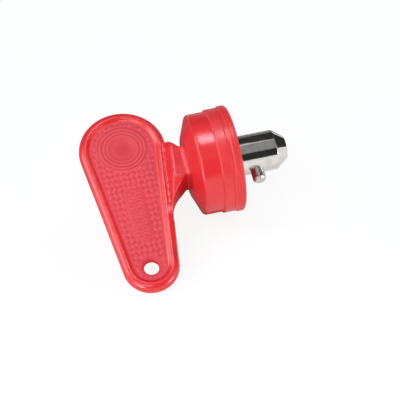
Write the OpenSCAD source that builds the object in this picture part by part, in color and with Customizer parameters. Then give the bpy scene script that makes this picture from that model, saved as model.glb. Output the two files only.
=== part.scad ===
// Removable key of a battery isolator switch: a flat lever bow on a short neck, a round
// splash cap with a soft sealing ring, and a plated shaft with one cross pin.
// The key is modelled with its shaft along +X and the mouth of the cap at X = 0, then
// turned about the shaft so that it lies on the rim of the cap and the tip of the bow.

/* [Shaft] */
// Diameter of the plated shaft
shaft_d = 9; // [8:0.1:10]
// How far the shaft stands out of the cap
shaft_reach = 11.9; // [10:0.1:16]
// Length of the tapered nose
nose_l = 2.6; // [1:0.1:3.5]
// Diameter of the flat end of the nose
nose_d = 5; // [3.5:0.1:7]
// Length of the shaft that is held in the boss of the cap
shaft_seat_l = 3.6; // [2.5:0.1:5]
// Width across the flats of the six-sided tail that is moulded in
tail_af = 5.4; // [4.6:0.1:6]
// Length of the six-sided tail
tail_l = 3.3; // [2.6:0.1:3.5]
// Width of the groove round the tail
tail_groove_w = 1; // [0.6:0.1:1.2]
// Depth of the groove round the tail
tail_groove_depth = 0.5; // [0.3:0.1:0.8]

/* [Cross pin] */
// Diameter of the cross pin
pin_d = 3; // [2:0.1:3.6]
// Distance from the mouth of the cap to the axis of the pin
pin_x = 4.3; // [3.6:0.1:6]
// How far the pin stands out of the shaft
pin_out = 2.7; // [1.5:0.1:4]
// How far the hidden end of the pin is sunk below the shaft
pin_sink = 0.5; // [0.2:0.1:1]
// Chamfer on the free end of the pin
pin_chamfer = 0.4; // [0.1:0.1:0.7]

/* [Cap] */
// Diameter of the moulded rear ring of the cap
cap_d = 22.8; // [21.5:0.1:24]
// Radius of the rounded rear corner of the cap
cap_corner_r = 0.4; // [0.2:0.05:1]
// Distance from the mouth to the start of the rounded rear corner
cap_side_x = 8.8; // [8.2:0.1:9.2]
// Width of the sloping shoulder on the back of the cap
shoulder_w = 4; // [3.5:0.1:5]
// Distance from the mouth to the flat hub that carries the neck
hub_x = 10.9; // [10.7:0.1:11.6]
// Height of the chamfered edge of the hub above the shoulder
hub_step = 0.2; // [0.1:0.1:0.6]
// Wall of the spigot that carries the sealing ring
spigot_wall = 1; // [0.8:0.1:1.2]
// Distance from the mouth to the end of the spigot
spigot_x = 1.9; // [1.5:0.1:2.6]
// Distance from the mouth to the floor of the hollow
hollow_x = 7.6; // [6.8:0.1:8.2]
// Wall of the boss round the shaft
boss_wall = 1.9; // [1.4:0.1:2.2]
// Distance from the mouth to the end of the boss
boss_x = 6; // [5.6:0.1:6.6]

/* [Sealing ring] */
// Height at which the sealing ring stands above the moulded ring
ring_step = 0.35; // [0.2:0.05:0.6]
// Wall of the sealing ring
ring_wall = 1.3; // [1:0.1:1.5]
// Distance from the mouth to the step behind the sealing ring
ring_x = 4.8; // [4.2:0.1:5.6]
// Height of the lip at the mouth above the sealing ring
lip_step = 0.25; // [0.15:0.05:0.5]
// Width of the lip
lip_w = 1.9; // [1.6:0.1:2.2]
// Chamfer round the mouth
mouth_chamfer = 0.4; // [0.1:0.05:0.5]
// How far the lip turns in over the end of the spigot
lip_turn_in = 0.5; // [0.3:0.1:0.8]
// Number of fine grooves round the lip; one more follows behind it
lip_grooves = 2; // [1:1:2]
// Radius of a fine groove
groove_r = 0.12; // [0.06:0.02:0.14]

/* [Bow] */
// Distance from the mouth of the cap to the long axis of the bow
bow_x = 24; // [23:0.1:27]
// Radius of the broad end of the bow
broad_r = 9.8; // [8.6:0.1:10.4]
// Distance of the centre of the broad end above the shaft axis
broad_y = 7.3; // [5.5:0.1:8.5]
// Radius of the narrow end of the bow
narrow_r = 6.2; // [5.4:0.1:7.4]
// Distance of the centre of the narrow end below the shaft axis
narrow_y = 22.5; // [20:0.5:30]
// Thickness of the rim of the bow
bow_t = 3; // [2.6:0.1:3.6]
// Distance from the outline to the inner edge of the rim's crest
crest_w = 1.75; // [1.7:0.05:2.2]
// Distance from the outline to the edge of the sunk panel
rim_w = 2.4; // [2.3:0.05:3]
// Thickness of the sunk panel
web_t = 1.7; // [1.2:0.1:2.2]

/* [Key ring hole] */
// Diameter of the key ring hole
hole_d = 3.3; // [2.4:0.1:3.6]
// Chamfer round the key ring hole
hole_chamfer = 0.35; // [0.1:0.05:0.5]
// Distance of the key ring hole below the centre of the narrow end
hole_drop = 0.5; // [0:0.1:0.7]

/* [Panel relief] */
// Radius of the outer raised ring on the panel
ring_mark_r = 5.1; // [4.4:0.1:6]
// Radius of the shallow dish inside it
dish_r = 2.9; // [2:0.1:3.6]
// Depth of the shallow dish
dish_depth = 0.25; // [0.1:0.05:0.4]
// Radius of the bead that forms a raised ring
mark_bead_r = 0.22; // [0.15:0.01:0.3]
// Width of the smooth pad along the panel
pad_w = 4; // [3:0.1:5]
// Length of the smooth pad
pad_l = 13; // [9:0.5:15]
// Distance of the middle of the pad below the shaft axis
pad_y = 9.9; // [9.4:0.1:11]
// Height of the smooth pad above the panel
pad_h = 0.2; // [0.1:0.05:0.3]

/* [Neck] */
// Distance above the shaft axis at which the upper flank of the neck meets the hub
neck_high = 2.7; // [2.5:0.1:3.6]
// Distance below the shaft axis at which the lower flank of the neck meets the hub
neck_low = 3.1; // [2.8:0.1:4]
// Thickness of the neck at the hub
neck_t = 7; // [6.4:0.1:7.6]
// Angle at which each face of the neck rises towards the bow
splay = 8; // [4:1:9]
// Angle at which the flanks of the neck spread
flare = 45; // [38:1:50]
// Radius of the fillet below the neck
low_fillet_r = 9; // [6:0.5:10]
// Radius of the fillet above the neck
high_fillet_r = 2; // [0.6:0.1:2.4]
// Radius of the fillet at the root of the neck
root_fillet_r = 0.6; // [0.4:0.1:0.9]
// Height of the middle of the neck's face, between its two falling sides
neck_flat_h = 7.4; // [5:0.1:8]
// Angle at which the neck's face falls off towards the flanks
crown = 17; // [12:1:20]
// Length over which the neck's face drops to the rim of the bow
drop_l = 1.2; // [1.1:0.1:2]
// Distance from the outline of the bow to the foot of that drop
drop_in = 0.5; // [0.4:0.1:0.8]
// Height of the foot of that drop above the middle plane
drop_foot_h = 1; // [0.7:0.1:1]

/* [Fits] */
// Clearance between the moulding and the insert it is moulded round
insert_fit = 0.02; // [0.01:0.01:0.05]
// Clearance between the sealing ring and the cap
ring_fit = 0.02; // [0.01:0.01:0.1]
// Clearance between the cross pin and its hole
pin_fit = 0.01; // [0.01:0.01:0.03]

/* [Hidden] */
$fn = 96;
overlap = 0.6;
bead_steps = 12;
boss_d = shaft_d + 2 * boss_wall;
shaft_back_x = boss_x + shaft_seat_l;
tail_back_x = shaft_back_x + tail_l;
cap_r = cap_d / 2;
ring_r = cap_r + ring_step;
lip_r = ring_r + lip_step;
spigot_r = ring_r - ring_wall;
hollow_r = spigot_r - spigot_wall;
mouth_r = spigot_r - lip_turn_in;
hub_r = cap_r - shoulder_w;
groove_pitch = lip_w / (lip_grooves + 1);
crown_h = neck_t / 2 + (bow_x - broad_r - hub_x + drop_in) * tan(splay);

// The outline of the bow is two arcs joined by two tangents, each turned by this angle
centre_gap = broad_y + narrow_y;
taper = asin((broad_r - narrow_r) / centre_gap);
tangent_l = centre_gap * cos(taper);
tangent_normal = [cos(taper), -sin(taper)];
broad_centre = [-bow_x, broad_y];
narrow_centre = [-bow_x, -narrow_y];
tangent_top = broad_centre + broad_r * tangent_normal;
tangent_foot = narrow_centre + narrow_r * tangent_normal;

// The key lies on the lip of the cap and on the bead round the narrow end of the bow
bead_r = bow_t / 2;
bow_reach = narrow_y + narrow_r - bead_r;
rest_angle = asin((lip_r - bead_r) / bow_reach);

// The flanks of the neck, the fillet below it and the fillet above it
low_corner = [-hub_x, -neck_low];
low_normal = [sin(flare), -cos(flare)];
high_corner = [-hub_x, neck_high];
high_normal = [sin(flare), cos(flare)];
high_run = [-cos(flare), sin(flare)];

// Point at which two lines meet, each given by a normal and its distance from the origin
function meet(n, a, m, b) =
    [(a * m.y - b * n.y) / (n.x * m.y - n.y * m.x), (n.x * b - m.x * a) / (n.x * m.y - n.y * m.x)];
low_fillet_centre = meet(low_normal, low_normal * low_corner + low_fillet_r,
                         tangent_normal, tangent_normal * tangent_top + low_fillet_r);
high_start = high_corner + high_fillet_r * high_normal;
high_gap = broad_centre - high_start;
high_along = high_gap * high_run;
high_across = high_gap * high_normal;
high_fillet_centre = high_start
    + (high_along - sqrt(pow(broad_r + high_fillet_r, 2) - pow(high_across, 2))) * high_run;
high_foot = broad_centre + broad_r * (high_fillet_centre - broad_centre) / (broad_r + high_fillet_r);

module along_x() {
    rotate([0, 90, 0]) children();
}

module at_rest() {
    rotate([rest_angle, 0, 0]) children();
}

module both_faces() {
    for (side = [0, 1]) {
        mirror([0, 0, side]) children();
    }
}

// Outline of the bow, drawn in by a distance
module teardrop(inset) {
    polygon([
        broad_centre + (broad_r - inset) * tangent_normal,
        narrow_centre + (narrow_r - inset) * tangent_normal,
        narrow_centre + (narrow_r - inset) * [-tangent_normal.x, tangent_normal.y],
        broad_centre + (broad_r - inset) * [-tangent_normal.x, tangent_normal.y]
    ]);
    translate(broad_centre) circle(broad_r - inset);
    translate(narrow_centre) circle(narrow_r - inset);
}

// Section of the rim: a round bead outside, a crest, and a slope down to the panel
module rim_section() {
    bead = [for (i = [0 : bead_steps]) let (a = 90 + 180 * i / bead_steps)
        bead_r * [1 + cos(a), sin(a)]];
    slope = [[crest_w, -bead_r], [rim_w, -web_t / 2], [rim_w, web_t / 2], [crest_w, bead_r]];
    polygon(concat(bead, slope));
}

module rim_arc(centre, radius, from, sweep) {
    translate(centre)
        rotate([0, 0, from])
            rotate_extrude(angle = sweep, $fn = 72)
                translate([radius, 0]) mirror([1, 0]) rim_section();
}

module rim_tangent() {
    translate(tangent_foot)
        rotate([0, 0, 180 - taper])
            rotate([90, 0, 0])
                linear_extrude(tangent_l) rim_section();
}

module rim() {
    rim_arc(broad_centre, broad_r, -taper, 180 + 2 * taper);
    rim_arc(narrow_centre, narrow_r, 180 + taper, 180 - 2 * taper);
    rim_tangent();
    translate([-2 * bow_x, 0]) mirror([1, 0, 0]) rim_tangent();
}

module pad_outline() {
    half_run = (pad_l - pad_w) / 2;
    square([pad_w, 2 * half_run], center = true);
    for (end = [-1, 1]) {
        translate([0, end * half_run]) circle(pad_w / 2);
    }
}

module panel() {
    difference() {
        linear_extrude(web_t, center = true) teardrop(crest_w);
        both_faces() translate([broad_centre.x, broad_centre.y, web_t / 2 - dish_depth])
            cylinder(r = dish_r, h = web_t);
    }
    both_faces() translate([broad_centre.x, broad_centre.y, web_t / 2])
        rotate_extrude($fn = 60) translate([ring_mark_r, 0]) circle(mark_bead_r, $fn = 14);
    both_faces() translate([-bow_x, -pad_y, 0])
        linear_extrude(web_t / 2 + pad_h) pad_outline();
}

module key_ring_hole() {
    translate([-bow_x, -narrow_y - hole_drop, 0]) {
        cylinder(d = hole_d, h = 2 * bow_t, center = true);
        both_faces() translate([0, 0, web_t / 2 - hole_chamfer])
            cylinder(d1 = hole_d, d2 = hole_d + 4 * hole_chamfer, h = 2 * hole_chamfer);
    }
}

module bow() {
    difference() {
        union() {
            rim();
            panel();
        }
        key_ring_hole();
    }
}

// Fillet in the corner between the hub and a flank that leaves it at the flare angle
module root_fillet(corner, side) {
    run = root_fillet_r / tan(flare / 2);
    centre = corner + [-root_fillet_r, side * run];
    difference() {
        polygon([
            corner + [overlap, 0], corner, corner + run * [-cos(flare), side * sin(flare)],
            centre, corner + [0, side * run], corner + [overlap, side * run]
        ]);
        translate(centre) circle(root_fillet_r, $fn = 48);
    }
}

module neck_outline() {
    low_foot = low_fillet_centre - low_fillet_r * tangent_normal;
    difference() {
        polygon([
            [-hub_x + overlap, -neck_low], low_corner,
            low_fillet_centre - low_fillet_r * low_normal, low_fillet_centre, low_foot,
            [-bow_x, low_foot.y], [-bow_x, high_foot.y],
            high_foot, high_fillet_centre, high_fillet_centre - high_fillet_r * high_normal,
            high_corner, [-hub_x + overlap, neck_high]
        ]);
        translate(low_fillet_centre) circle(low_fillet_r);
        translate(high_fillet_centre) circle(high_fillet_r);
    }
    root_fillet(low_corner, -1);
    root_fillet(high_corner, 1);
}

// Faces of the neck, which spread from the hub towards the bow
module neck_faces() {
    near = neck_t / 2 - overlap * tan(splay);
    far = neck_t / 2 + (bow_x - hub_x) * tan(splay);
    rotate([90, 0, 0])
        linear_extrude(4 * broad_r, center = true)
            polygon([
                [overlap - hub_x, -near], [-bow_x, -far], [-bow_x, far], [overlap - hub_x, near]
            ]);
}

// Side of the neck, measured outwards from the tangent beside it
module neck_drop() {
    reach = 2 * broad_r;
    translate(tangent_top)
        rotate([0, 0, -taper])
            rotate([90, 0, 0])
                linear_extrude(4 * broad_r, center = true)
                    polygon([
                        [-reach, -drop_foot_h], [-drop_in, -drop_foot_h],
                        [drop_l - drop_in, -crown_h], [reach, -crown_h],
                        [reach, crown_h], [drop_l - drop_in, crown_h],
                        [-drop_in, drop_foot_h], [-reach, drop_foot_h]
                    ]);
}

// Section across the neck: high in the middle, falling off towards both flanks
module neck_crown() {
    wing = broad_r + narrow_r;
    fall = (wing - neck_flat_h / 2) * tan(crown);
    along_x()
        linear_extrude(4 * hub_x, center = true)
            polygon([
                [-crown_h, -neck_flat_h / 2], [fall - crown_h, -wing],
                [crown_h - fall, -wing], [crown_h, -neck_flat_h / 2],
                [crown_h, neck_flat_h / 2], [crown_h - fall, wing],
                [fall - crown_h, wing], [-crown_h, neck_flat_h / 2]
            ]);
}

module neck() {
    difference() {
        intersection() {
            linear_extrude(2 * crown_h, center = true) neck_outline();
            neck_faces();
            neck_drop();
            neck_crown();
        }
        linear_extrude(2 * neck_t, center = true) teardrop(bead_r);
    }
}

// Half section of the moulded cap: radius across, distance from the mouth downwards
module cap_section() {
    corner = [cap_r - cap_corner_r, -cap_side_x];
    hub = [hub_r, hub_step - hub_x];
    gap = hub - corner;
    swing = atan2(gap.y, gap.x) + acos(cap_corner_r / norm(gap));
    rear = corner + cap_corner_r * [cos(swing), sin(swing)];
    polygon([
        [0, -hub_x], [hub_r - hub_step, -hub_x], hub, rear, corner, [cap_r, -cap_side_x],
        [cap_r, -ring_x], [spigot_r, -ring_x], [spigot_r, -spigot_x], [hollow_r, -spigot_x],
        [hollow_r, -hollow_x], [boss_d / 2, -hollow_x], [boss_d / 2, -boss_x], [0, -boss_x]
    ]);
    translate(corner) circle(cap_corner_r, $fn = 24);
}

module cap() {
    along_x() rotate_extrude() cap_section();
}

module shaft_body(extra) {
    groove_x = shaft_back_x + tail_l / 2;
    along_x() {
        difference() {
            translate([0, 0, -tail_back_x - extra])
                cylinder(d = (tail_af + 2 * extra) / cos(30), h = tail_l + 2 * extra, $fn = 6);
            translate([0, 0, -groove_x - tail_groove_w / 2 + extra])
                difference() {
                    cylinder(d = 2 * tail_af, h = tail_groove_w - 2 * extra);
                    cylinder(d = tail_af - 2 * tail_groove_depth + 2 * extra, h = tail_groove_w - 2 * extra);
                }
        }
        translate([0, 0, -shaft_back_x - extra])
            cylinder(d = shaft_d + 2 * extra, h = shaft_back_x + shaft_reach - nose_l + extra);
        translate([0, 0, shaft_reach - nose_l])
            cylinder(d1 = shaft_d + 2 * extra, d2 = nose_d, h = nose_l);
    }
}

module handle() {
    color("crimson") at_rest() {
        difference() {
            union() {
                cap();
                neck();
                bow();
            }
            shaft_body(insert_fit);
        }
    }
}

// Half section of the sealing ring: a sleeve over the spigot with a lip at the mouth
module sealing_ring_section() {
    difference() {
        polygon([
            [spigot_r + ring_fit, -ring_x + ring_fit], [ring_r, -ring_x + ring_fit],
            [ring_r, -lip_w], [lip_r, -lip_w + lip_step],
            [lip_r, -mouth_chamfer], [lip_r - mouth_chamfer, 0],
            [mouth_r, 0], [mouth_r, -spigot_x + ring_fit],
            [spigot_r + ring_fit, -spigot_x + ring_fit]
        ]);
        for (i = [1 : lip_grooves]) {
            translate([lip_r, -i * groove_pitch]) circle(groove_r, $fn = 24);
        }
        translate([ring_r, -lip_w - groove_pitch]) circle(groove_r, $fn = 24);
    }
}

module sealing_ring() {
    color("indianred") at_rest() along_x() rotate_extrude() sealing_ring_section();
}

module pin_bore(d) {
    translate([pin_x, 0, 0]) rotate([90, 0, 0]) cylinder(d = d, h = 2 * shaft_d, center = true);
}

module shaft() {
    color("silver") at_rest() {
        difference() {
            shaft_body(0);
            pin_bore(pin_d + 2 * pin_fit);
        }
    }
}

module cross_pin() {
    far_end = shaft_d / 2 - pin_sink;
    free_end = shaft_d / 2 + pin_out;
    color("gainsboro") at_rest() translate([pin_x, far_end, 0]) rotate([90, 0, 0]) {
        cylinder(d = pin_d, h = far_end + free_end - pin_chamfer);
        translate([0, 0, far_end + free_end - pin_chamfer])
            cylinder(d1 = pin_d, d2 = pin_d - 2 * pin_chamfer, h = pin_chamfer);
    }
}

handle();
sealing_ring();
shaft();
cross_pin();
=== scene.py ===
"""Looks of a removable battery isolator key: handle, sealing ring, plated shaft and cross pin."""

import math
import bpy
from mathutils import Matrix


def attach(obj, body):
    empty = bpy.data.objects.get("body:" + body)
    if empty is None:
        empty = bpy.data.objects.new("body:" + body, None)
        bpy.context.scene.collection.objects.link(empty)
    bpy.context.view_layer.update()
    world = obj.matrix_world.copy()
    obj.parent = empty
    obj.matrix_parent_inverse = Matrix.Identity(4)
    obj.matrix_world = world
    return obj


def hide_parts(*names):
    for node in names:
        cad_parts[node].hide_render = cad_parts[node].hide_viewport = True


bl_info = {
    "name": "Isolator Key",
    "version": (1, 0, 0),
    "blender": (4, 5, 0),
    "location": "3D View > Sidebar > Key",
    "description": "Builds the visible pieces, finishes and studio of a removable isolator key",
    "category": "Object",
}

import bmesh
import bpy
from bpy.props import FloatProperty, FloatVectorProperty, IntProperty, PointerProperty
from mathutils import Matrix, Vector

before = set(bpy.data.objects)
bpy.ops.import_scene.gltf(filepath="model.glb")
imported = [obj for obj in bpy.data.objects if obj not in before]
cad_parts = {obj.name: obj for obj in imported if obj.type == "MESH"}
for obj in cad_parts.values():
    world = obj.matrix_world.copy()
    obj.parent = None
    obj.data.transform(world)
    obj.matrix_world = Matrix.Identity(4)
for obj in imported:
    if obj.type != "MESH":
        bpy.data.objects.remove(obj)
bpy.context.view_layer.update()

MM = 0.001
BODY = "root"
UP = Vector((0, 0, 1))

# Sizes shared with the solids, in millimetres. The shaft runs along X, with the mouth of the cap at
# 0 and the nose at +X. The bow's long axis runs along Y, with the broad end at +Y.
CAP_R, CAP_EDGE_X = 11.4, -4.8
LIP_R, LIP_W, LIP_STEP = 12.0, 1.9, 0.25
RING_R = 11.75
MOUTH_R, MOUTH_CHAMFER = 9.95, 0.4
SPIGOT_R, SPIGOT_X = 10.47, -1.88
GROOVE_DEPTH = 0.12
SHAFT_R, SHAFT_TAIL_X, NOSE_X = 4.5, -9.5, 9.3
TIP_R, TIP_X = 2.5, 11.9
PIN_R, PIN_X, PIN_FROM, PIN_TO, PIN_CHAMFER = 1.5, 4.3, -4.0, 7.2, 0.4
PIN_BORE_R, PIN_BORE_LENGTH = 1.51, 12.0
BOW_X = -24.0
BROAD_R, BROAD_Y = 9.8, 7.3
NARROW_R, NARROW_Y = 6.2, 22.5
BEAD_R = 1.5
WEB_T = 1.7
PAD_W, PAD_L, PAD_Y = 4.0, 13.0, 9.9
HOLE_Y, HOLE_R = 23.0, 1.65
DISH_R, RING_MARK_R = 2.9, 5.1
REST_ANGLE = math.asin((LIP_R - BEAD_R) / (NARROW_Y + NARROW_R - BEAD_R))
LAID = Matrix.Rotation(REST_ANGLE, 4, "X")

# The skin of the ring starts a little behind the step of the cap and slopes up to its own radius,
# so that no gap shows between the two
RING_SKIN_X = -4.98
RING_SKIN_LIFT = 0.02
RING_SKIN_SLOPE = 0.3

# Extra points beside each rounding of a turned outline, which keep the flats beside it flat
HOLD = 0.02
# Edges that are steeper than this are shaded sharp
SHARP_ANGLE = math.radians(35)

# Where the neck runs into the bow: centre, reach and number of passes of the rounding
FOOT_JOINS = [
    ((-16.4, -11.3, side * 1.0), 2.2, 16) for side in (-1, 1)
] + [
    ((-14.9, 6.3, side * 1.2), 1.8, 12) for side in (-1, 1)
]
# The front edge of the cap, which stays crisp: how far behind and below the edge it reaches
CRISP_BEHIND, CRISP_BELOW = 0.9, 0.4

# The sunk panels of the bow: where they end towards the neck, and how far from the faces of the web
# a point still counts as matt ground, or is raised and lowered by the relief
PANEL_END_X = -14.0
PANEL_REACH, RELIEF_REACH = 0.5, 0.3
# The matt ground starts between these distances inside the outline, and the relief at its inset
MATTE_FROM, MATTE_TO = 2.3, 2.9
RELIEF_INSET = 2.75
# Where the relief fades in: distances from the inset, the dish, the edge of the pad and the hole
RIM_FADE, DISH_FADE, PAD_FADE, HOLE_FADE = (0.0, 0.3), (0.3, 0.6), (0.1, 0.5), (1.0, 1.3)
# Fine rings round the dish, out to their radius, and ribs on the pad; heights are shares of the
# height of a pebble
RINGS_R, RINGS_FADE = 6.0, 0.3
RIDGE_PITCH = 0.85
RINGS_HEIGHT, RIBS_HEIGHT = 0.8, 0.5
# Rows of pebbles: how steeply they cross, and slanted waves that make them irregular, each with its
# height in millimetres and its radians per millimetre along two axes
PEBBLE_SLANT = 0.8
X_JITTER = ((0.16, 2.9, 0.7), (0.1, 5.3, -3.1))
Y_JITTER = ((0.16, 3.3, -0.9), (0.1, 4.7, 3.7))
# Painted shade: the darker tone of the plain places, in the dish and round the hole, which fades
# out between these radii of the dish and the hole
PAINTED_SHADE_TONE = -0.6
DISH_SHADE_R, HOLE_SHADE_R = (0.8, 2.4), (1.8, 2.8)

# Finishes: spread of the colour, range of the roughness, grains and mottles to the metre, and the
# strength and depth of the bump
FINISHES = {
    "moulded_red_plastic": (0.04, (0.2, 0.28), 2600.0, 260.0, 0.1, 0.00004),
    "soft_red_rubber": (0.06, (0.32, 0.4), 2200.0, 300.0, 0.2, 0.00005),
    "nickel_plate": (0.1, (0.07, 0.15), 1800.0, 600.0, 0.12, 0.00005),
    "pin_steel": (0.08, (0.3, 0.38), 2600.0, 500.0, 0.1, 0.00004),
}
# Specular level of the plastic and the rubber, and roughness of the matt ground
RED_GLOSS = 0.75
MATTE_ROUGHNESS = 0.6
# Painted shade and painted highlight: colours of the lowest and the highest tone of the relief, and
# how far from 0 those tones are
PEBBLE_PAINTED_SHADE, PEBBLE_PAINTED_HIGHLIGHT = (0.66, 0.006, 0.018), (0.80, 0.052, 0.082)
PEBBLE_TONES = 0.7

# Sockets of the mix node by number, because its kinds use the same names
MIX_BY = 0
VALUE_A, VALUE_B, VALUE_OUT = 2, 3, 0
COLOUR_A, COLOUR_B, COLOUR_OUT = 6, 7, 2

# Camera: turns about X, Y and Z in radians, distance in millimetres, pixels to the millimetre, and
# where the mouth of the cap falls in a frame of 400 by 400 pixels
TURN, TILT, ROLL = -0.4993, 0.1280, 0.2010
DISTANCE = 300.0
PIXELS_PER_MM = 4.447
MOUTH_U, MOUTH_V = 233.586, 157.493
FRAME_MIDDLE = 200

FLOOR_LEVEL = -LIP_R * MM
FLOOR_SIZE = 0.6
CARD_LEVEL = FLOOR_LEVEL + 0.0002
# How bright the floor glows for the camera and in the gloss of the pieces, and its shadow tone
FLOOR_SEEN, FLOOR_MIRRORED = 0.87, 0.33
FLOOR_SHADOW = (0.16, 0.17, 0.17)
# How bright the world is as a light; it shows white
AMBIENT = 0.33


def direction(azimuth, elevation):
    """A unit vector from the key, by degrees round from its nose and up from the floor."""
    turn, rise = math.radians(azimuth), math.radians(elevation)
    level = math.cos(rise)
    return Vector((level * math.cos(turn), level * math.sin(turn), math.sin(rise)))


# Distances of most lamps and cards from the key, in metres
LAMP_REACH, CARD_REACH = 0.32, 0.2

# Lamps: name, place, width and height in metres, watts, then colour and the pieces that are lit,
# where these aren't white and everything. The overhead lamp leaves the metal alone.
LAMPS = [
    ("front_right", LAMP_REACH * direction(315, 8), (0.13, 0.07), 0.3),
    ("front_left", LAMP_REACH * direction(225, 8), (0.13, 0.07), 0.25),
    ("left", LAMP_REACH * direction(172, 40), (0.07, 0.07), 0.15),
    ("back_right", LAMP_REACH * direction(45, 35), (0.13, 0.13), 0.18),
    ("front_left_high", LAMP_REACH * direction(225, 35), (0.13, 0.13), 0.11),
    ("left_high", LAMP_REACH * direction(180, 62), (0.13, 0.13), 0.08),
    (
        "overhead", Vector((0.0103, 0.0, 0.15)), (0.044, 0.0135), 0.034,
        (0.94, 0.97, 1.08), ("handle_moulding", "sealing_ring_skin"),
    ),
    ("front_spot", 0.19 * direction(247, 41), (0.03, 0.014), 0.03),
    ("back_strip", Vector((0.035, 0.112, 0.278)), (0.07, 0.02), 0.009),
]

# Cards across the shaft: name, degrees from straight up towards the back, degrees that they span,
# distance and width in metres, tone
ACROSS_CARDS = [
    ("back_grey", 82, 30, 0.2, 0.6, 0.2),
    ("back_dark", 44, 46, 0.2, 0.6, 0.03),
    ("top_strip", 12, 12, 0.36, 0.6, 0.75),
    ("top_grey", -10, 74, 0.42, 0.6, 0.3),
    ("front_dark", -66, 40, 0.21, 0.22, 0.03),
]

# Other cards: name, place, width and height in metres, tone, and the way they face where that isn't
# the key
PLACED_CARDS = [
    ("right_dark", CARD_REACH * direction(25, 38), (0.25, 0.3), 0.03),
    ("left_dark", CARD_REACH * direction(144, 13), (0.09, 0.075), 0.25),
    ("left_glow", CARD_REACH * direction(174, 37), (0.1, 0.1), 3.0),
    ("floor_back", Vector((-0.02, 0.058, CARD_LEVEL)), (0.12, 0.09), 0.14, UP),
    ("floor_near", Vector((-0.017, 0.0025, CARD_LEVEL)), (0.026, 0.021), 0.14, UP),
]


class HandleSettings(bpy.types.PropertyGroup):
    """Sizes and colour of the moulded handle"""

    colour: FloatVectorProperty(
        name="Plastic", description="Colour of the moulded plastic", subtype="COLOR",
        size=3, min=0, max=1, default=(0.80, 0.024, 0.033),
    )
    voxel: FloatProperty(
        name="Mesh size", description="Edge length of the handle's mesh, in millimetres",
        min=0.15, max=0.6, default=0.225,
    )
    rounding: IntProperty(
        name="Rounding", description="Passes that round the edges of the moulding",
        min=0, max=30, default=13,
    )
    pebble_pitch: FloatProperty(
        name="Pebble pitch", description="Distance between the pebbles, in millimetres",
        min=0.8, max=2.5, default=1.15,
    )
    pebble_height: FloatProperty(
        name="Pebble height", description="Height of the pebbles, in millimetres",
        min=0, max=0.3, default=0.2,
    )


class SealSettings(bpy.types.PropertyGroup):
    """Colour of the soft sealing ring"""

    colour: FloatVectorProperty(
        name="Rubber", description="Colour of the sealing ring", subtype="COLOR",
        size=3, min=0, max=1, default=(0.80, 0.030, 0.034),
    )


class MetalSettings(bpy.types.PropertyGroup):
    """Finish of the shaft and the cross pin"""

    plate: FloatVectorProperty(
        name="Plate", description="Colour of the nickel plate", subtype="COLOR",
        size=3, min=0, max=1, default=(0.74, 0.72, 0.69),
    )
    steel: FloatVectorProperty(
        name="Steel", description="Colour of the cross pin", subtype="COLOR",
        size=3, min=0, max=1, default=(0.70, 0.69, 0.68),
    )


class StudioSettings(bpy.types.PropertyGroup):
    """Camera and floor"""

    lens: FloatProperty(
        name="Lens", description="Focal length of the camera, in millimetres",
        min=20, max=300, default=120.12,
    )
    floor_tone: FloatProperty(
        name="Floor", description="Tone of the floor under the lamps", min=0, max=1, default=0.8,
    )


# Objects and meshes


def add_object(name, data):
    """An object in the scene, at the origin."""
    added = bpy.data.objects.new(name, data)
    bpy.context.scene.collection.objects.link(added)
    return added


def finished_mesh(bm, name):
    """A mesh with the contents of a bmesh, which is freed."""
    mesh = bpy.data.meshes.new(name)
    bm.to_mesh(mesh)
    bm.free()
    return mesh


def new_piece(name, mesh, slot, material, *replaced):
    """Links a finished mesh as a piece that rides on the key."""
    piece = add_object(name, mesh)
    for polygon in mesh.polygons:
        polygon.use_smooth = True
    mesh.materials.clear()
    mesh.materials.append(material)
    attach(piece, BODY)
    if replaced:
        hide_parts(*replaced)


def modified_mesh(piece, name):
    """The mesh of a piece with its modifiers applied."""
    graph = bpy.context.evaluated_depsgraph_get()
    mesh = bpy.data.meshes.new_from_object(piece.evaluated_get(graph), depsgraph=graph)
    mesh.name = name
    return mesh


def turned_piece(profile, steps):
    """A solid of revolution about X from (radius, x) points.

    An outline that doesn't start on the axis is closed on itself.
    """
    bm = bmesh.new()
    verts = [bm.verts.new((x, 0.0, r)) for r, x in profile]
    edges = [bm.edges.new(pair) for pair in zip(verts, verts[1:])]
    if profile[0][0] > 0:
        edges.append(bm.edges.new((verts[-1], verts[0])))
    bmesh.ops.spin(
        bm, geom=verts + edges, cent=(0, 0, 0), axis=(1, 0, 0), angle=2 * math.pi,
        steps=steps, use_merge=True, use_duplicate=False,
    )
    bmesh.ops.remove_doubles(bm, verts=bm.verts, dist=1e-5)
    bmesh.ops.recalc_face_normals(bm, faces=bm.faces)
    return bm


def rounded(corners, steps=4):
    """An outline of ((radius, x), rounding) corners as points; the first and last stay sharp."""
    points = [point for point, _ in corners]
    out = [points[0]]
    for before, (corner, radius), after in zip(points, corners[1:], points[2:]):
        p, q, s = Vector(before), Vector(corner), Vector(after)
        if radius <= 0:
            out.append(corner)
            continue
        a, b = (p - q).normalized(), (s - q).normalized()
        half = a.angle(b) / 2
        room = min((p - q).length, (s - q).length) / 2 - 2 * HOLD
        reach = min(radius / math.tan(half), room)
        radius = reach * math.tan(half)
        centre = q + (a + b).normalized() * (radius / math.sin(half))
        start, end = q + a * reach - centre, q + b * reach - centre
        sweep = start.angle_signed(end)
        out.append(tuple(centre + start + a * HOLD))
        for i in range(steps + 1):
            out.append(tuple(centre + Matrix.Rotation(-sweep * i / steps, 2) @ start))
        out.append(tuple(centre + end + b * HOLD))
    out.append(points[-1])
    return out


def groove(radius, x, steps=6):
    """Corners of a fine round groove turned into a cylinder."""
    turns = [math.pi * i / steps for i in range(steps + 1)]
    depth = GROOVE_DEPTH
    return [((radius - depth * math.sin(t), x - depth * math.cos(t)), 0) for t in turns]


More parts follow.
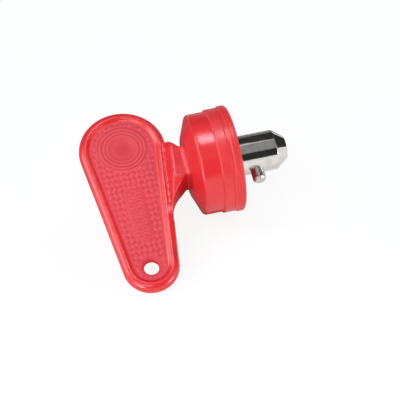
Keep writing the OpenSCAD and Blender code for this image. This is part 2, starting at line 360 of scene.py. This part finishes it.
def laid_mesh(bm, name, placing=Matrix.Identity(4)):
    """Places a bmesh in the key's own millimetres, lays it down in metres and makes it a mesh."""
    bmesh.ops.transform(bm, matrix=LAID @ Matrix.Scale(MM, 4) @ placing, verts=bm.verts)
    return finished_mesh(bm, name)


# Finishes


def group_socket(group, name, way, default=None):
    """A number that goes into or comes out of a node group."""
    socket = group.interface.new_socket(name=name, in_out=way, socket_type="NodeSocketFloat")
    if default is not None:
        socket.default_value = default


def fine_grain_group():
    """Fine moulding grain and slow mottling, as masks around 0.5, shared by every finish."""
    found = bpy.data.node_groups.get("fine_grain")
    if found:
        return found
    group = bpy.data.node_groups.new("fine_grain", "ShaderNodeTree")
    group_socket(group, "Grain size", "INPUT", 2500.0)
    group_socket(group, "Mottle size", "INPUT", 180.0)
    group_socket(group, "Grain", "OUTPUT")
    group_socket(group, "Mottle", "OUTPUT")
    nodes, links = group.nodes, group.links
    given, out = nodes.new("NodeGroupInput"), nodes.new("NodeGroupOutput")
    place = nodes.new("ShaderNodeTexCoord")
    for label, source, detail in (("Grain", "Grain size", 3.0), ("Mottle", "Mottle size", 2.0)):
        noise = nodes.new("ShaderNodeTexNoise")
        noise.inputs["Detail"].default_value = detail
        links.new(place.outputs["Object"], noise.inputs["Vector"])
        links.new(given.outputs[source], noise.inputs["Scale"])
        links.new(noise.outputs["Fac"], out.inputs[label])
    return group


def new_material(name):
    """A material with its nodes, links and Principled shader."""
    material = bpy.data.materials.new(name)
    material.use_nodes = True
    tree = material.node_tree
    return material, tree.nodes, tree.links, tree.nodes["Principled BSDF"]


def value_between(nodes, links, source, low, high):
    """A value that runs from low to high as a mask runs from 0.3 to 0.7."""
    spread = nodes.new("ShaderNodeMapRange")
    spread.inputs["From Min"].default_value = 0.3
    spread.inputs["From Max"].default_value = 0.7
    spread.inputs["To Min"].default_value = low
    spread.inputs["To Max"].default_value = high
    links.new(source, spread.inputs["Value"])
    return spread.outputs["Result"]


def shade_mix(nodes, links, mask, dark, light):
    """A colour between two, led by a mask."""
    mix = nodes.new("ShaderNodeMix")
    mix.data_type = "RGBA"
    mix.inputs[COLOUR_A].default_value = (*dark, 1)
    mix.inputs[COLOUR_B].default_value = (*light, 1)
    links.new(mask, mix.inputs[MIX_BY])
    return mix.outputs[COLOUR_OUT]


def math_node(nodes, links, operation, *sources):
    """The result of a sum whose terms are sockets or numbers."""
    sum_node = nodes.new("ShaderNodeMath")
    sum_node.operation = operation
    for socket, source in zip(sum_node.inputs, sources):
        if isinstance(source, float):
            socket.default_value = source
        else:
            links.new(source, socket)
    return sum_node.outputs[0]


def base_finish(name, colour):
    """A Principled finish whose colour, roughness and bump vary with the fine grain."""
    spread, roughness, grain_size, mottle_size, bump, bump_distance = FINISHES[name]
    material, nodes, links, shader = new_material(name)
    grain_and_painted_shade = nodes.new("ShaderNodeGroup")
    grain_and_painted_shade.node_tree = fine_grain_group()
    grain_and_painted_shade.inputs["Grain size"].default_value = grain_size
    grain_and_painted_shade.inputs["Mottle size"].default_value = mottle_size
    dark = [max(0.0, c * (1 - spread)) for c in colour]
    light = [min(1.0, c * (1 + spread)) for c in colour]
    mask = value_between(nodes, links, grain_and_painted_shade.outputs["Mottle"], 0.0, 1.0)
    links.new(shade_mix(nodes, links, mask, dark, light), shader.inputs["Base Color"])
    rough = value_between(nodes, links, grain_and_painted_shade.outputs["Mottle"], *roughness)
    links.new(rough, shader.inputs["Roughness"])
    relief = nodes.new("ShaderNodeBump")
    relief.inputs["Strength"].default_value = bump
    relief.inputs["Distance"].default_value = bump_distance
    links.new(grain_and_painted_shade.outputs["Grain"], relief.inputs["Height"])
    links.new(relief.outputs["Normal"], shader.inputs["Normal"])
    return material, nodes, links, shader


def plastic_finish(settings):
    """Glossy red moulding, matt and pebbled where the mesh says so, with painted shade and painted
    highlight on the relief and a painted sheen on the matt ground.
    """
    material, nodes, links, shader = base_finish("moulded_red_plastic", settings.colour)
    matte = nodes.new("ShaderNodeAttribute")
    matte.attribute_name = "matte"
    blend = nodes.new("ShaderNodeMix")
    links.new(matte.outputs["Fac"], blend.inputs[MIX_BY])
    links.new(shader.inputs["Roughness"].links[0].from_socket, blend.inputs[VALUE_A])
    blend.inputs[VALUE_B].default_value = MATTE_ROUGHNESS
    links.new(blend.outputs[VALUE_OUT], shader.inputs["Roughness"])
    # Tone of painted shade and painted highlight, from the relief, the dish and the hole
    grain_and_painted_shade = nodes.new("ShaderNodeAttribute")
    grain_and_painted_shade.attribute_name = "grain_and_painted_shade"
    height = nodes.new("ShaderNodeMapRange")
    height.inputs["From Min"].default_value = -PEBBLE_TONES
    height.inputs["From Max"].default_value = PEBBLE_TONES
    links.new(grain_and_painted_shade.outputs["Fac"], height.inputs["Value"])
    # Painted shade in the hollows and painted highlight on the tops of the relief, with painted
    # shade in the dish and round the hole
    pebbled = shade_mix(nodes, links, height.outputs["Result"], PEBBLE_PAINTED_SHADE, PEBBLE_PAINTED_HIGHLIGHT)
    # On the matt ground the painted shade and highlight stand in for the plain colour, lighter and
    # pinker on average as a painted sheen
    matte_painted_sheen = nodes.new("ShaderNodeMix")
    matte_painted_sheen.data_type = "RGBA"
    links.new(matte.outputs["Fac"], matte_painted_sheen.inputs[MIX_BY])
    links.new(shader.inputs["Base Color"].links[0].from_socket, matte_painted_sheen.inputs[COLOUR_A])
    links.new(pebbled, matte_painted_sheen.inputs[COLOUR_B])
    links.new(matte_painted_sheen.outputs[COLOUR_OUT], shader.inputs["Base Color"])
    shader.inputs["Specular IOR Level"].default_value = RED_GLOSS
    return material


def rubber_finish(settings):
    """Soft red rubber with a low sheen."""
    material, _, _, shader = base_finish("soft_red_rubber", settings.colour)
    shader.inputs["Specular IOR Level"].default_value = RED_GLOSS
    return material


def metal_finish(name, colour):
    """Bare metal with slight mottling."""
    material, _, _, shader = base_finish(name, colour)
    shader.inputs["Metallic"].default_value = 1.0
    return material


def floor_finish(settings):
    """A pale floor that shows white, with the shadow of the key left on it."""
    material, nodes, links, shader = new_material("pale_floor")
    shader.inputs["Roughness"].default_value = 0.9
    shader.inputs["Specular IOR Level"].default_value = 0.0
    shader.inputs["Emission Color"].default_value = (1, 1, 1, 1)
    rays = nodes.new("ShaderNodeLightPath")
    seen = rays.outputs["Is Camera Ray"]
    lit = [settings.floor_tone] * 3
    links.new(shade_mix(nodes, links, seen, lit, FLOOR_SHADOW), shader.inputs["Base Color"])
    glossy, clear = rays.outputs["Is Glossy Ray"], rays.outputs["Is Transmission Ray"]
    mirrored = math_node(nodes, links, "MAXIMUM", glossy, clear)
    glow = math_node(nodes, links, "MULTIPLY", mirrored, FLOOR_MIRRORED)
    level = math_node(nodes, links, "MULTIPLY_ADD", seen, FLOOR_SEEN, glow)
    links.new(level, shader.inputs["Emission Strength"])
    return material


# Shape of the bow and its panels


def smooth_step(low, high, value):
    """Runs smoothly from 0 at low to 1 at high."""
    t = max(0.0, min(1.0, (value - low) / (high - low)))
    return t * t * (3 - 2 * t)


def inside_bow(x, y, inset):
    """How far inside the outline of the bow a point of its plane is, less an inset."""
    gap = BROAD_Y + NARROW_Y
    taper = math.asin((BROAD_R - NARROW_R) / gap)
    px, py = abs(x - BOW_X), y - BROAD_Y
    along = -py * math.cos(taper) - px * math.sin(taper)
    if along <= 0:
        depth = BROAD_R - math.hypot(px, py)
    elif along >= gap * math.cos(taper):
        depth = NARROW_R - math.hypot(px, y + NARROW_Y)
    else:
        depth = BROAD_R - (px * math.cos(taper) - py * math.sin(taper))
    return depth - inset


def pad_depth(x, y):
    """How far outside the outline of the pad a point of the bow's plane is; negative inside."""
    run = max(0.0, abs(y + PAD_Y) - (PAD_L - PAD_W) / 2)
    return math.hypot(x - BOW_X, run) - PAD_W / 2


def ridges(distance):
    """A row of fine ridges, from -1 to 1."""
    return math.cos(2 * math.pi * distance / RIDGE_PITCH)


def jitter(waves, across, along):
    """A small shift that makes a regular pattern irregular."""
    return sum(height * math.sin(a * across + b * along) for height, a, b in waves)


def panel_relief(x, y, pitch):
    """Height from -1 to 1 of the panel at a point of the bow's plane.

    It has irregular pebbles, fine rings round the dish and ribs on the pad.
    """
    from_dish = math.hypot(x - BOW_X, y - BROAD_Y)
    rings = RINGS_HEIGHT * ridges(from_dish - RING_MARK_R)
    x += jitter(X_JITTER, y, x)
    y += jitter(Y_JITTER, x, y)
    if pad_depth(x, y) < 0:
        pattern = RIBS_HEIGHT * ridges(y + PAD_Y)
    else:
        a = (x - BOW_X + PEBBLE_SLANT * y) * math.pi / pitch
        b = (x - BOW_X - PEBBLE_SLANT * y) * math.pi / pitch
        pattern = math.sin(a) * math.sin(b)
    outside = smooth_step(RINGS_R - RINGS_FADE, RINGS_R + RINGS_FADE, from_dish)
    return rings + (pattern - rings) * outside


def from_edge(radius, fade, distance):
    """Runs from 0 to 1 as a distance from a centre passes the fade outside a radius."""
    return smooth_step(radius + fade[0], radius + fade[1], distance)


def relief_mask(x, y):
    """Where the relief is: clear of the rim, the dish, the edge of the pad and the hole."""
    mask = smooth_step(*RIM_FADE, inside_bow(x, y, RELIEF_INSET))
    mask *= from_edge(DISH_R, DISH_FADE, math.hypot(x - BOW_X, y - BROAD_Y))
    mask *= smooth_step(*PAD_FADE, abs(pad_depth(x, y)))
    mask *= from_edge(HOLE_R, HOLE_FADE, math.hypot(x - BOW_X, y + HOLE_Y))
    return mask


def painted_plain_shade(x, y):
    """Painted shade: a darker tone in the plain dish and in the plain margin round the hole."""
    dish = smooth_step(*DISH_SHADE_R, math.hypot(x - BOW_X, y - BROAD_Y))
    hole = smooth_step(*HOLE_SHADE_R, math.hypot(x - BOW_X, y + HOLE_Y))
    return PAINTED_SHADE_TONE * (1 - dish * hole)


def soften_join(bm, centre, reach, passes):
    """Rounds a join of the moulding round a point, fading out to a reach in millimetres."""
    near = [v for v in bm.verts if (v.co - Vector(centre)).length < reach]
    before = [v.co.copy() for v in near]
    for _ in range(passes):
        bmesh.ops.smooth_vert(
            bm, verts=near, factor=0.5, use_axis_x=True, use_axis_y=True, use_axis_z=True,
        )
    for vertex, start in zip(near, before):
        weight = 1 - smooth_step(0.5 * reach, reach, (start - Vector(centre)).length)
        vertex.co = start.lerp(vertex.co, weight)


def crisp_cap_edge(bm):
    """Brings the rounded front edge of the cap back to its full radius."""
    for vertex in bm.verts:
        x, y, z = vertex.co
        radius = math.hypot(y, z)
        if x > CAP_EDGE_X - CRISP_BEHIND and CAP_R - CRISP_BELOW < radius < CAP_R:
            vertex.co = (x, y * CAP_R / radius, z * CAP_R / radius)


def carve_panels(bm, settings):
    """Gives the sunk panels their relief, and marks the matt ground and its tones of painted shade
    and painted highlight.
    """
    matte = bm.verts.layers.float.new("matte")
    # Tone of painted shade and painted highlight on the panels
    grain_and_painted_shade = bm.verts.layers.float.new("grain_and_painted_shade")
    for vertex in bm.verts:
        x, y, z = vertex.co
        if x > PANEL_END_X or abs(z) > WEB_T / 2 + PANEL_REACH:
            continue
        vertex[matte] = smooth_step(MATTE_FROM, MATTE_TO, inside_bow(x, y, 0))
        # Painted shade in the dish and round the hole
        vertex[grain_and_painted_shade] = painted_plain_shade(x, y)
        mask = relief_mask(x, y)
        if mask > 0 and abs(abs(z) - WEB_T / 2) < RELIEF_REACH:
            relief = mask * panel_relief(x, y, settings.pebble_pitch)
            # Painted shade in the hollows and painted highlight on the tops of the relief
            vertex[grain_and_painted_shade] += relief
            vertex.co.z += math.copysign(settings.pebble_height / 2 * relief, z)


# Pieces


class KEY_OT_handle(bpy.types.Operator):
    """Makes the moulded handle with rounded edges and pebbled panels"""

    bl_idname = "isolator_key.handle"
    bl_label = "Moulded handle"

    def execute(self, context):
        settings = context.scene.key_handle
        bm = bmesh.new()
        bm.from_mesh(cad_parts["handle"].data)
        bmesh.ops.remove_doubles(bm, verts=bm.verts, dist=1e-7)
        blank = add_object("handle_blank", finished_mesh(bm, "handle_blank"))
        remesh = blank.modifiers.new("even_mesh", "REMESH")
        remesh.mode = "VOXEL"
        remesh.voxel_size = settings.voxel * MM
        soften = blank.modifiers.new("rounded_edges", "SMOOTH")
        soften.factor = 0.5
        soften.iterations = settings.rounding
        moulding = modified_mesh(blank, "handle_moulding")
        bpy.data.objects.remove(blank)
        bm = bmesh.new()
        bm.from_mesh(moulding)
        upright = Matrix.Scale(1 / MM, 4) @ LAID.inverted()
        bmesh.ops.transform(bm, matrix=upright, verts=bm.verts)
        for centre, reach, passes in FOOT_JOINS:
            soften_join(bm, centre, reach, passes)
        crisp_cap_edge(bm)
        carve_panels(bm, settings)
        bmesh.ops.transform(bm, matrix=LAID @ Matrix.Scale(MM, 4), verts=bm.verts)
        bm.to_mesh(moulding)
        bm.free()
        moulding.update()
        finish = plastic_finish(settings)
        new_piece("handle_moulding", moulding, "handle_plastic", finish, "handle")
        return {"FINISHED"}


class KEY_OT_seal(bpy.types.Operator):
    """Makes the soft sealing ring with its lip and fine grooves"""

    bl_idname = "isolator_key.seal"
    bl_label = "Sealing ring"

    def execute(self, context):
        pitch = LIP_W / 3
        corners = [
            ((SPIGOT_R, RING_SKIN_X), 0),
            ((CAP_R + RING_SKIN_LIFT, RING_SKIN_X), 0.05),
            ((RING_R, RING_SKIN_X + RING_SKIN_SLOPE), 0.25),
        ]
        corners += groove(RING_R, -4 * pitch)
        corners += [((RING_R, -LIP_W), 0.12), ((LIP_R, -LIP_W + LIP_STEP), 0.12)]
        corners += groove(LIP_R, -2 * pitch) + groove(LIP_R, -pitch)
        corners += [
            ((LIP_R, -MOUTH_CHAMFER), 0.15),
            ((LIP_R - MOUTH_CHAMFER, 0.0), 0.25),
            ((MOUTH_R, 0.0), 0.2),
            ((MOUTH_R, SPIGOT_X), 0.1),
            ((SPIGOT_R, SPIGOT_X), 0),
        ]
        mesh = laid_mesh(turned_piece(rounded(corners), steps=180), "sealing_ring_skin")
        finish = rubber_finish(context.scene.key_seal)
        new_piece("sealing_ring_skin", mesh, "seal_rubber", finish, "sealing_ring")
        mesh.set_sharp_from_angle(angle=SHARP_ANGLE)
        return {"FINISHED"}


class KEY_OT_shaft(bpy.types.Operator):
    """Makes the plated shaft with its tapered nose and the hole for the cross pin"""

    bl_idname = "isolator_key.shaft"
    bl_label = "Plated shaft"

    def execute(self, context):
        corners = [
            ((0, SHAFT_TAIL_X), 0),
            ((SHAFT_R, SHAFT_TAIL_X), 0.2),
            ((SHAFT_R, NOSE_X), 0.2),
            ((TIP_R, TIP_X), 0.15),
            ((0, TIP_X), 0),
        ]
        turned = turned_piece(rounded(corners, steps=5), steps=128)
        blank = add_object("shaft_blank", laid_mesh(turned, "shaft_blank"))
        drill = bmesh.new()
        bmesh.ops.create_cone(
            drill, cap_ends=True, segments=64, radius1=PIN_BORE_R, radius2=PIN_BORE_R,
            depth=PIN_BORE_LENGTH,
            matrix=Matrix.Translation((PIN_X, 0, 0)) @ Matrix.Rotation(math.pi / 2, 4, "X"),
        )
        cutter = add_object("pin_bore", laid_mesh(drill, "pin_bore"))
        bore = blank.modifiers.new("pin_bore", "BOOLEAN")
        bore.operation = "DIFFERENCE"
        bore.object = cutter
        bore.solver = "EXACT"
        shaft = modified_mesh(blank, "plated_shaft")
        bpy.data.objects.remove(blank)
        bpy.data.objects.remove(cutter)
        finish = metal_finish("nickel_plate", context.scene.key_metal.plate)
        new_piece("plated_shaft", shaft, "plated_shaft", finish, "shaft")
        shaft.set_sharp_from_angle(angle=SHARP_ANGLE)
        return {"FINISHED"}


class KEY_OT_pin(bpy.types.Operator):
    """Makes the cross pin that stands out on the side of the bow's narrow end"""

    bl_idname = "isolator_key.pin"
    bl_label = "Cross pin"

    def execute(self, context):
        corners = [
            ((0, PIN_FROM), 0),
            ((PIN_R, PIN_FROM), 0.2),
            ((PIN_R, PIN_TO - PIN_CHAMFER), 0.12),
            ((PIN_R - PIN_CHAMFER, PIN_TO), 0.1),
            ((0, PIN_TO), 0),
        ]
        placing = Matrix.Translation((PIN_X, 0, 0)) @ Matrix.Rotation(-math.pi / 2, 4, "Z")
        turned = turned_piece(rounded(corners), steps=64)
        mesh = laid_mesh(turned, "cross_pin_steel", placing)
        finish = metal_finish("pin_steel", context.scene.key_metal.steel)
        new_piece("cross_pin_steel", mesh, "pin_steel", finish, "cross_pin")
        return {"FINISHED"}


# Studio


def softbox(name, place, size, power, colour=(1, 1, 1), lit_pieces=()):
    """A soft rectangular lamp that points at the key.

    It lights the named pieces, or everything.
    """
    data = bpy.data.lights.new(name, "AREA")
    data.shape = "RECTANGLE"
    data.size, data.size_y = size
    data.energy = power
    data.color = colour
    lamp = add_object(name, data)
    lamp.location = place
    lamp.rotation_mode = "QUATERNION"
    lamp.rotation_quaternion = (-place).to_track_quat("-Z", "Y")
    if lit_pieces:
        receivers = bpy.data.collections.new(name)
        for piece in lit_pieces:
            receivers.objects.link(bpy.data.objects[piece])
        lamp.light_linking.receiver_collection = receivers


def studio_card(name, place, size, tone, facing=None):
    """A card of a given tone that only shows in the gloss of the pieces."""
    bm = bmesh.new()
    bmesh.ops.create_grid(bm, x_segments=1, y_segments=1, size=0.5)
    turned = (facing or -place).to_track_quat("Z", "Y").to_matrix().to_4x4()
    bmesh.ops.scale(bm, vec=(*size, 1), verts=bm.verts)
    bmesh.ops.transform(bm, matrix=Matrix.Translation(place) @ turned, verts=bm.verts)
    card = add_object(name, finished_mesh(bm, name))
    material, _, _, shader = new_material(name)
    shader.inputs["Base Color"].default_value = (0, 0, 0, 1)
    shader.inputs["Specular IOR Level"].default_value = 0.0
    shader.inputs["Emission Color"].default_value = (tone, tone, tone, 1)
    shader.inputs["Emission Strength"].default_value = 1.0
    card.data.materials.append(material)
    for ray in ("camera", "diffuse", "shadow", "transmission", "volume_scatter"):
        setattr(card, "visible_" + ray, False)


def add_camera(scene, lens):
    """The camera, which looks at the key from the front, above its shaft."""
    seen = (
        Matrix.Rotation(ROLL, 4, "Z") @ Matrix.Rotation(TILT, 4, "Y")
        @ Matrix.Rotation(TURN, 4, "X") @ LAID.inverted()
    )
    back = seen.inverted()
    across = (FRAME_MIDDLE - MOUTH_U) / PIXELS_PER_MM
    up = (MOUTH_V - FRAME_MIDDLE) / PIXELS_PER_MM
    data = bpy.data.cameras.new("camera")
    data.lens = lens
    data.sensor_width = 36.0
    data.clip_start = 0.01
    camera = add_object("camera", data)
    offset = Vector((across, up, DISTANCE)) * MM
    camera.matrix_world = Matrix.Translation(back @ offset) @ back
    scene.camera = camera


def add_world(scene):
    """A world that shows white and lights the key softly."""
    world = bpy.data.worlds.new("studio")
    scene.world = world
    world.use_nodes = True
    nodes, links = world.node_tree.nodes, world.node_tree.links
    background = nodes["Background"]
    rays = nodes.new("ShaderNodeLightPath")
    seen = rays.outputs["Is Camera Ray"]
    for ray in ("Is Glossy Ray", "Is Transmission Ray"):
        seen = math_node(nodes, links, "MAXIMUM", seen, rays.outputs[ray])
    level = nodes.new("ShaderNodeMapRange")
    level.inputs["To Min"].default_value = AMBIENT
    level.inputs["To Max"].default_value = 1.0
    links.new(seen, level.inputs["Value"])
    links.new(level.outputs["Result"], background.inputs["Strength"])
    background.inputs["Color"].default_value = (1, 1, 1, 1)


class KEY_OT_studio(bpy.types.Operator):
    """Sets the camera, the lamps, the cards, the floor and the world round the finished pieces"""

    bl_idname = "isolator_key.studio"
    bl_label = "Studio"

    def execute(self, context):
        settings = context.scene.key_studio
        scene = context.scene
        scene.view_settings.view_transform = "Standard"
        add_camera(scene, settings.lens)
        for lamp in LAMPS:
            softbox(*lamp)
        for name, lean, span, reach, width, tone in ACROSS_CARDS:
            height = 2 * reach * math.tan(math.radians(span / 2))
            studio_card(name, reach * direction(90, 90 - lean), (width, height), tone)
        for card in PLACED_CARDS:
            studio_card(*card)
        bm = bmesh.new()
        bmesh.ops.create_grid(bm, x_segments=1, y_segments=1, size=FLOOR_SIZE)
        bmesh.ops.translate(bm, verts=bm.verts, vec=(0, 0, FLOOR_LEVEL))
        floor = add_object("floor", finished_mesh(bm, "floor"))
        floor.data.materials.append(floor_finish(settings))
        add_world(scene)
        return {"FINISHED"}


# Panel and registration


class KEY_PT_panel(bpy.types.Panel):
    """Lists the pieces of the key and their settings"""

    bl_label = "Isolator key"
    bl_idname = "KEY_PT_panel"
    bl_space_type = "VIEW_3D"
    bl_region_type = "UI"
    bl_category = "Key"

    def draw(self, context):
        layout = self.layout
        for operator in OPERATORS:
            layout.operator(operator.bl_idname)
        for owner in SETTINGS:
            settings = getattr(context.scene, owner)
            box = layout.box()
            for name in settings.__annotations__:
                box.prop(settings, name)


OPERATORS = (KEY_OT_handle, KEY_OT_seal, KEY_OT_shaft, KEY_OT_pin, KEY_OT_studio)
SETTINGS = {
    "key_handle": HandleSettings,
    "key_seal": SealSettings,
    "key_metal": MetalSettings,
    "key_studio": StudioSettings,
}


def register():
    """Registers the settings, the operators and the panel."""
    for group in SETTINGS.values():
        bpy.utils.register_class(group)
    for operator in OPERATORS:
        bpy.utils.register_class(operator)
    bpy.utils.register_class(KEY_PT_panel)
    for owner, group in SETTINGS.items():
        setattr(bpy.types.Scene, owner, PointerProperty(type=group))


def unregister():
    """Removes what register added."""
    for owner in SETTINGS:
        delattr(bpy.types.Scene, owner)
    bpy.utils.unregister_class(KEY_PT_panel)
    for operator in reversed(OPERATORS):
        bpy.utils.unregister_class(operator)
    for group in reversed(SETTINGS.values()):
        bpy.utils.unregister_class(group)


def main():
    """Builds every piece and the studio."""
    register()
    bpy.ops.isolator_key.handle()
    bpy.ops.isolator_key.seal()
    bpy.ops.isolator_key.shaft()
    bpy.ops.isolator_key.pin()
    bpy.ops.isolator_key.studio()


if __name__ == "__main__":
    main()
